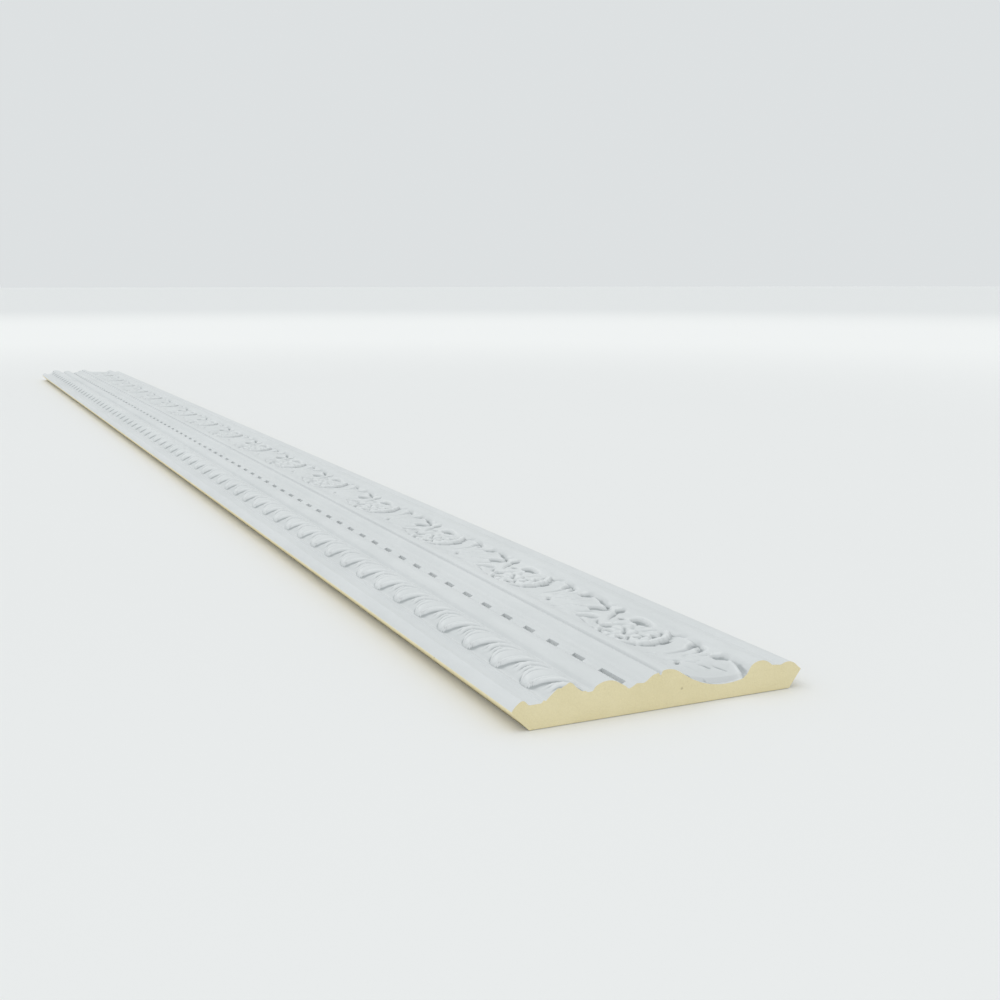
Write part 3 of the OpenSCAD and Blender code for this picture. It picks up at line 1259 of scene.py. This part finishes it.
class Shop:
    """Builds the node tree of one material, or of the surroundings."""

    def __init__(self, owner: bpy.types.Material | bpy.types.World) -> None:
        """Start with an empty tree."""
        self.owner = owner
        owner.use_nodes = True
        self.tree = owner.node_tree
        self.tree.nodes.clear()

    def add(self, kind: str, settings: dict[str, object],
            values: dict[object, object], output: object = 0) -> Wire:
        """Add a node.

        Args:
            kind: Type of the node.
            settings: Properties that are set first.
            values: Socket values or wires, by name or number.
            output: Name or number of the output wanted.

        Returns:
            The output.
        """
        node = self.tree.nodes.new(kind)
        for key, value in settings.items():
            setattr(node, key, value)
        for key, value in values.items():
            socket = node.inputs[key]
            if isinstance(value, Wire):
                self.tree.links.new(value.socket, socket)
            else:
                socket.default_value = value
        return Wire(self, node.outputs[output])

    def close(self, kind: str, surface: Wire) -> None:
        """Add the tree's output node and wire the surface to it."""
        result = self.tree.nodes.new(kind)
        self.tree.links.new(surface.socket, result.inputs["Surface"])

    def place(self, scale: Triple = (1.0, 1.0, 1.0)) -> Wire:
        """Object coordinates, stretched by a scale."""
        where = self.add("ShaderNodeTexCoord", {}, {}, "Object")
        return self.add("ShaderNodeMapping", {}, {"Vector": where,
                                                  "Scale": scale})

    def axis(self, where: Wire, name: str) -> Wire:
        """One coordinate of a place."""
        return self.add("ShaderNodeSeparateXYZ", {}, {"Vector": where}, name)

    def stored(self, name: str) -> Wire:
        """A number stored on the mesh."""
        return self.add("ShaderNodeAttribute", {"attribute_name": name}, {},
                        "Fac")

    def noise(self, where: Wire, scale: float, detail: float = 3.0,
              rough: float = 0.5) -> Wire:
        """Noise between 0 and 1."""
        return self.add("ShaderNodeTexNoise", {},
                        {"Vector": where, "Scale": scale, "Detail": detail,
                         "Roughness": rough}, "Fac")

    def cells(self, where: Wire, scale: float) -> Wire:
        """Distance to the nearest cell's middle."""
        return self.add("ShaderNodeTexVoronoi", {},
                        {"Vector": where, "Scale": scale}, "Distance")

    def mix(self, factor: Wire, first: Colour | Wire,
            second: Colour | Wire) -> Wire:
        """Mix two colours."""
        def colour(value: Colour | Wire) -> object:
            """Add alpha to a plain colour."""
            return value if isinstance(value, Wire) else (*value, 1.0)
        return self.add("ShaderNodeMix", {"data_type": "RGBA"},
                        {0: factor, 6: colour(first), 7: colour(second)}, 2)

    def bump(self, height: Wire, depth: float, strength: float,
             below: Wire | None = None) -> Wire:
        """Bump from a height between 0 and 1, `depth` metres deep."""
        values: dict[object, object] = {"Height": height, "Distance": depth,
                                        "Strength": strength}
        if below is not None:
            values["Normal"] = below
        return self.add("ShaderNodeBump", {}, values)

    def finish(self, colour: Wire, rough: Wire, normal: Wire,
               refraction: float) -> bpy.types.Material:
        """Wire the surface shader.

        Args:
            colour: Base colour.
            rough: Roughness.
            normal: Normal.
            refraction: Index of refraction, the same all over.

        Returns:
            The finished material.
        """
        self.close("ShaderNodeOutputMaterial", self.add(
            "ShaderNodeBsdfPrincipled", {},
            {"Base Color": colour, "Roughness": rough, "Normal": normal,
             "IOR": refraction}))
        return self.owner


@dataclass(frozen=True)
class PrimerCoat:
    """Matte factory primer over moulded foam.

    Each noise is given as its scale, detail and roughness, and each bump as
    its depth in metres and its strength. Recesses are darkened with painted
    shade and rims lightened with a painted highlight, by how hollow each
    place lies.
    """

    light: Colour = (0.715, 0.730, 0.736)
    dark: Colour = (0.675, 0.692, 0.698)
    painted_shade: Colour = (0.30, 0.325, 0.335)
    # Painted shade for recesses and painted highlight for rims follow.
    painted_highlight: Colour = (0.90, 0.91, 0.915)
    speck: Colour = (0.45, 0.46, 0.45)
    roughness: float = 0.55
    refraction: float = 1.46
    cloud: Triple = (9.0, 4.0, 0.55)
    drag: Triple = (160.0, 3.0, 0.6)
    drag_stretch: Triple = (0.25, 1.0, 1.0)
    grain: Triple = (2600.0, 2.0, 0.5)
    skin: Triple = (520.0, 4.0, 0.6)
    cloud_share: float = 0.6
    drag_share: float = 0.4
    blot_range: Point = (0.34, 0.66)
    speck_scale: float = 230.0
    speck_range: Point = (0.02, 0.07)
    speck_share: float = 0.16
    # Ranges and shares of the painted shade in recesses and the painted highlight
    # on rims.
    painted_shade_range: Point = (0.12, 1.7)
    painted_shade_share: float = 0.68
    painted_highlight_range: Point = (0.12, 1.3)
    painted_highlight_share: float = 0.32
    grain_rough: float = 0.12
    cloud_rough: float = 0.10
    skin_bump: Point = (0.00012, 0.5)
    wave_bump: Point = (0.0008, 0.35)
    grain_bump: Point = (0.00003, 0.4)

    def make(self) -> bpy.types.Material:
        """Build the material."""
        shop = Shop(bpy.data.materials.new(Slot.PRIMER.value))
        where = shop.place()
        cloud = shop.noise(where, *self.cloud)
        drag = shop.noise(shop.place(self.drag_stretch), *self.drag)
        grain = shop.noise(where, *self.grain)
        blot = cloud * self.cloud_share + drag * self.drag_share
        colour = shop.mix(blot.ramp(*self.blot_range), self.dark, self.light)
        specks = 1.0 - shop.cells(where, self.speck_scale).ramp(
            *self.speck_range)
        colour = shop.mix(specks * self.speck_share, colour, self.speck)
        hollow = shop.stored("hollow")
        # Painted shade: recesses darkened by how hollow they lie, where shade
        # falls.
        recess_shade = hollow.ramp(*self.painted_shade_range) * self.painted_shade_share
        # Painted highlight: rims and crests lightened by how far they stand above
        # their surroundings, where light catches them.
        rim_highlight = (0.0 - hollow).ramp(*self.painted_highlight_range) * self.painted_highlight_share
        colour = shop.mix(rim_highlight, shop.mix(recess_shade, colour, self.painted_shade),
                          self.painted_highlight)
        rough = (self.roughness + (grain - NOISE_MIDDLE) * self.grain_rough
                 + (cloud - NOISE_MIDDLE) * self.cloud_rough)
        skin = shop.bump(shop.noise(where, *self.skin), *self.skin_bump)
        wave = shop.bump(cloud, *self.wave_bump, skin)
        normal = shop.bump(grain, *self.grain_bump, wave)
        return shop.finish(colour, rough, normal, self.refraction)


@dataclass(frozen=True)
class BareFoam:
    """Cream closed-cell foam as cut, with fine cells and a few pits.

    A strip of painted shadow lies low on both bevels, under the overhanging lip,
    and stops short of the cut ends.
    Its ranges are metres above the back, from the middle line and from the
    middle of the length.
    """

    light: Colour = (0.90, 0.805, 0.52)
    dark: Colour = (0.83, 0.735, 0.455)
    # Colour of the pits, also used for the painted shadow on the lower bevels.
    pit_and_shadow: Colour = (0.30, 0.25, 0.15)
    roughness: float = 0.82
    refraction: float = 1.45
    cloud: Triple = (40.0, 4.0, 0.6)
    fine: Triple = (900.0, 3.0, 0.6)
    wander: Triple = (60.0, 2.0, 0.5)
    cell_scale: float = 1500.0
    pit_scale: float = 105.0
    pit_range: Point = (0.035, 0.11)
    pit_chosen: Point = (0.50, 0.60)
    pit_share: float = 0.8
    cloud_share: float = 0.6
    fine_share: float = 0.4
    tone_range: Point = (0.3, 0.7)
    # Painted shadow low on the bevels: its height, side and end limits and
    # strength.
    painted_shadow_height: Point = (0.001, 0.0054)
    painted_shadow_outside: Point = (0.0742, 0.0756)
    painted_shadow_ends: Point = (1.1985, 1.1998)
    painted_shadow_share: float = 0.75
    fine_rough: float = 0.15
    cell_height: float = 0.35
    fine_height: float = 0.3
    pit_height: float = 1.2
    surface_bump: Point = (0.0005, 0.7)

    def make(self) -> bpy.types.Material:
        """Build the material."""
        shop = Shop(bpy.data.materials.new(Slot.FOAM.value))
        where = shop.place()
        cloud = shop.noise(where, *self.cloud)
        fine = shop.noise(where, *self.fine)
        cells = shop.cells(where, self.cell_scale)
        chosen = shop.noise(where, *self.wander).ramp(*self.pit_chosen)
        holes = 1.0 - shop.cells(where, self.pit_scale).ramp(*self.pit_range)
        pits = holes * chosen
        tone = cloud * self.cloud_share + fine * self.fine_share
        colour = shop.mix(tone.ramp(*self.tone_range), self.dark, self.light)
        colour = shop.mix(pits * self.pit_share, colour, self.pit_and_shadow)
        # Painted shadow: the lower bevels darkened where the lip overhangs them
        # near the floor, short of the cut ends.
        low = 1.0 - shop.axis(where, "Z").ramp(*self.painted_shadow_height)
        outer = shop.axis(where, "Y").size().ramp(*self.painted_shadow_outside)
        inner = 1.0 - shop.axis(where, "X").size().ramp(*self.painted_shadow_ends)
        colour = shop.mix(low * outer * inner * self.painted_shadow_share, colour,
                          self.pit_and_shadow)
        rough = self.roughness + (fine - NOISE_MIDDLE) * self.fine_rough
        height = (cells * self.cell_height + fine * self.fine_height
                  - pits * self.pit_height)
        normal = shop.bump(height, *self.surface_bump)
        return shop.finish(colour, rough, normal, self.refraction)


@dataclass(frozen=True)
class StudioFloor:
    """Plain pale floor, with painted light brightening a band before it meets the
    wall and painted falloff darkening it beyond.
    """

    colour: Colour = (0.848, 0.846, 0.846)
    # Colours of the painted light band and of the painted falloff farther out.
    painted_light_colour: Colour = (0.925, 0.922, 0.918)
    painted_falloff_colour: Colour = (0.792, 0.797, 0.800)
    dim_share: float = 0.985
    roughness: float = 0.75
    refraction: float = 1.4
    cloud: Triple = (1.2, 2.0, 0.5)
    cloud_rough: float = 0.05
    grain_scale: float = 900.0
    grain_bump: Point = (0.00002, 0.2)
    painted_light_range: Point = (0.9, 3.2)
    painted_falloff_range: Point = (4.5, 9.0)

    def make(self) -> bpy.types.Material:
        """Build the material."""
        shop = Shop(bpy.data.materials.new("studio_floor"))
        where = shop.place()
        cloud = shop.noise(where, *self.cloud)
        dim = tuple(value * self.dim_share for value in self.colour)
        colour = shop.mix(cloud, dim, self.colour)
        distance = shop.add("ShaderNodeVectorMath", {"operation": "LENGTH"},
                            {0: where}, "Value")
        # Painted light: a brighter ring of floor farther out, then painted falloff
        # darker still farther.
        colour = shop.mix(distance.ramp(*self.painted_light_range), colour,
                          self.painted_light_colour)
        colour = shop.mix(distance.ramp(*self.painted_falloff_range), colour,
                          self.painted_falloff_colour)
        rough = self.roughness + (cloud - NOISE_MIDDLE) * self.cloud_rough
        normal = shop.bump(shop.noise(where, self.grain_scale),
                           *self.grain_bump)
        return shop.finish(colour, rough, normal, self.refraction)


@dataclass(frozen=True)
class Studio:
    """Floor, light and camera.

    The camera's place is its run, its distance across and its height in mm.
    """

    section: Section
    floor_side: float = 60.0
    floor_level: float = -0.0003
    wall_low: Colour = (0.727, 0.753, 0.762)
    wall_high: Colour = (0.792, 0.822, 0.822)
    wall_range: Point = (0.22, 0.36)
    lamp_energy: float = 0.58
    lamp_spread: float = 60.0
    lamp_direction: Triple = (-0.15, -0.45, 1.0)
    camera_place: Triple = (-509.8, -250.5, 209.7)
    camera_turn: float = 24.77
    camera_dip: float = 9.842
    lens_length: float = 45.0828
    sensor_width: float = 36.0
    clip_start: float = 0.01

    def floor(self) -> bpy.types.Object:
        """Lay the floor just under the moulding's back."""
        side, level = self.floor_side, self.floor_level
        mesh = bpy.data.meshes.new("floor")
        mesh.from_pydata([(-side, -side, level), (side, -side, level),
                          (side, side, level), (-side, side, level)], [],
                         [(0, 1, 2, 3)])
        mesh.materials.append(StudioFloor().make())
        return new_piece("floor", mesh)

    def surroundings(self) -> None:
        """Set the pale surroundings, a little lighter higher up."""
        world = bpy.data.worlds.new("studio")
        bpy.context.scene.world = world
        shop = Shop(world)
        where = shop.add("ShaderNodeTexCoord", {}, {}, "Generated")
        rise = shop.axis(where, "Z").ramp(*self.wall_range)
        colour = shop.mix(rise, self.wall_low, self.wall_high)
        shop.close("ShaderNodeOutputWorld", shop.add(
            "ShaderNodeBackground", {}, {"Color": colour, "Strength": 1.0}))

    def lamp(self) -> None:
        """Hang one wide soft light."""
        lamp = bpy.data.lights.new("soft_key", "SUN")
        lamp.angle = math.radians(self.lamp_spread)
        lamp.energy = self.lamp_energy
        holder = bpy.data.objects.new("soft_key", lamp)
        toward = Vector(self.lamp_direction)
        holder.rotation_euler = toward.to_track_quat("Z", "Y").to_euler()
        bpy.context.scene.collection.objects.link(holder)
        bpy.context.scene.view_settings.view_transform = "Standard"

    def camera(self) -> None:
        """Set the camera low beside the +X end, looking along the length."""
        turn = math.radians(self.camera_turn)
        dip = math.radians(self.camera_dip)
        level = Vector((-math.cos(turn), math.sin(turn), 0.0))
        forward = level * math.cos(dip) + Vector((0, 0, -math.sin(dip)))
        right = Vector((math.sin(turn), math.cos(turn), 0.0))
        above = right.cross(forward)
        lens = bpy.data.cameras.new("camera")
        lens.sensor_width = self.sensor_width
        lens.lens = self.lens_length
        lens.clip_start = self.clip_start
        holder = bpy.data.objects.new("camera", lens)
        matrix = Matrix((right, above, -forward)).transposed().to_4x4()
        run, across, up = self.camera_place
        matrix.translation = Vector((
            self.section.length / 2.0 - run, across - self.section.middle,
            up)) * MM
        holder.matrix_world = matrix
        bpy.context.scene.collection.objects.link(holder)
        bpy.context.scene.camera = holder


def declare(piece: bpy.types.Object) -> None:
    """Tell the frame what a finished piece is, and log it.

    Args:
        piece: The finished piece.
    """
    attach(piece, "root")
    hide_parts("cornice")
    piece.data.calc_loop_triangles()
    LOG.info("%s: %d triangles", piece.name, len(piece.data.loop_triangles))


def face_bands(section: Section) -> list[Band]:
    """Lay out the bands of the face from the leaf side to the plain bead.

    Args:
        section: The bare section.

    Returns:
        The bands, each starting where the one before it ends.
    """
    rows = RowNodes()
    leaves = LeafRow(section=section, rows=rows)
    slots = SlotRow(section=section, rows=rows)
    cove = CoveBand(section=section, rows=rows)

    def plain(name: str, low: float, high: float) -> PlainBand:
        """A plain band between two places."""
        return PlainBand(section=section, name=name, low=low, high=high)

    return [plain("outer_bead", section.skin_edge[0], leaves.low), leaves,
            plain("slotted_roll", leaves.high, slots.low), slots,
            plain("groove_and_cove_roll", slots.high, cove.low), cove,
            plain("plain_bead", cove.high, section.high)]


def main() -> None:
    """Build the moulding and its studio."""
    logging.basicConfig(level=logging.INFO, format="%(name)s: %(message)s")
    section = Section()
    primer, foam = PrimerCoat().make(), BareFoam().make()
    bands = face_bands(section)
    for band in bands:
        for piece in band.build(primer):
            declare(piece)
    declare(FoamCore(section, bands).build("foam_core", foam))
    studio = Studio(section)
    studio.floor()
    studio.surroundings()
    studio.lamp()
    studio.camera()


if __name__ == "__main__":
    main()
